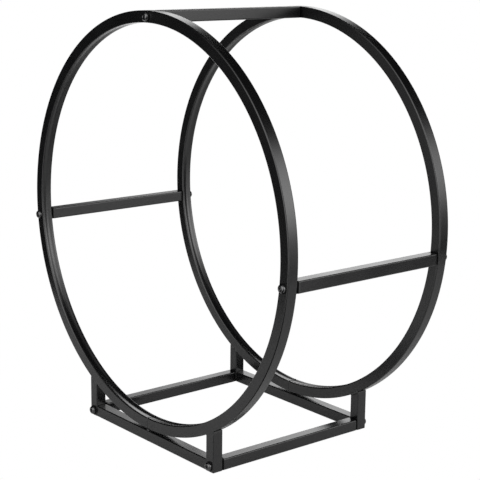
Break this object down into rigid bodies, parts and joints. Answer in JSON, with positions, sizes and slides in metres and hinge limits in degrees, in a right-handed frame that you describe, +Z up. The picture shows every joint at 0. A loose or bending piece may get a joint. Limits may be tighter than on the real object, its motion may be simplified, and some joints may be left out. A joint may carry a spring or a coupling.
{
  "type": "firewood log rack",
  "caption": "Free-standing firewood holder: twin round square-tube hoops on a rectangular foot frame, tied by level crossbars, open at both ends so split logs lie inside the ring.",
  "frame": {"origin": "on the floor under the middle of the rack", "axes": "+X runs along the hoops, to the right seen from the front; +Y runs from the front hoop to the rear hoop; +Z is up"},
  "size_m": [0.69, 0.346, 0.712],
  "materials": {
    "powder_coat": "satin black powder coat with a fine orange-peel texture",
    "black_fastener": "black coated steel, semi-gloss",
    "black_nylon": "moulded black nylon, matte",
    "zinc_steel": "bright zinc plating, hidden inside the tube ends"
  },
  "bodies": {
    "root": {"front_hoop": "powder_coat", "front_foot_rail": "powder_coat", "front_left_post": "powder_coat", "front_right_post": "powder_coat", "rear_hoop": "powder_coat", "rear_foot_rail": "powder_coat", "rear_left_post": "powder_coat", "rear_right_post": "powder_coat", "top_crossbar": "powder_coat", "left_crossbar": "powder_coat", "right_crossbar": "powder_coat", "left_side_rail": "powder_coat", "right_side_rail": "powder_coat", "top_crossbar_front_screw": "black_fastener", "top_crossbar_front_washer": "black_fastener", "top_crossbar_front_insert": "black_nylon", "top_crossbar_front_nut": "zinc_steel", "top_crossbar_rear_screw": "black_fastener", "top_crossbar_rear_washer": "black_fastener", "top_crossbar_rear_insert": "black_nylon", "top_crossbar_rear_nut": "zinc_steel", "left_crossbar_front_screw": "black_fastener", "left_crossbar_front_washer": "black_fastener", "left_crossbar_front_insert": "black_nylon", "left_crossbar_front_nut": "zinc_steel", "left_crossbar_rear_screw": "black_fastener", "left_crossbar_rear_washer": "black_fastener", "left_crossbar_rear_insert": "black_nylon", "left_crossbar_rear_nut": "zinc_steel", "right_crossbar_front_screw": "black_fastener", "right_crossbar_front_washer": "black_fastener", "right_crossbar_front_insert": "black_nylon", "right_crossbar_front_nut": "zinc_steel", "right_crossbar_rear_screw": "black_fastener", "right_crossbar_rear_washer": "black_fastener", "right_crossbar_rear_insert": "black_nylon", "right_crossbar_rear_nut": "zinc_steel", "left_side_rail_front_screw": "black_fastener", "left_side_rail_front_washer": "black_fastener", "left_side_rail_front_insert": "black_nylon", "left_side_rail_front_nut": "zinc_steel", "left_side_rail_rear_screw": "black_fastener", "left_side_rail_rear_washer": "black_fastener", "left_side_rail_rear_insert": "black_nylon", "left_side_rail_rear_nut": "zinc_steel", "right_side_rail_front_screw": "black_fastener", "right_side_rail_front_washer": "black_fastener", "right_side_rail_front_insert": "black_nylon", "right_side_rail_front_nut": "zinc_steel", "right_side_rail_rear_screw": "black_fastener", "right_side_rail_rear_washer": "black_fastener", "right_side_rail_rear_insert": "black_nylon", "right_side_rail_rear_nut": "zinc_steel"}
  },
  "joints": []
}
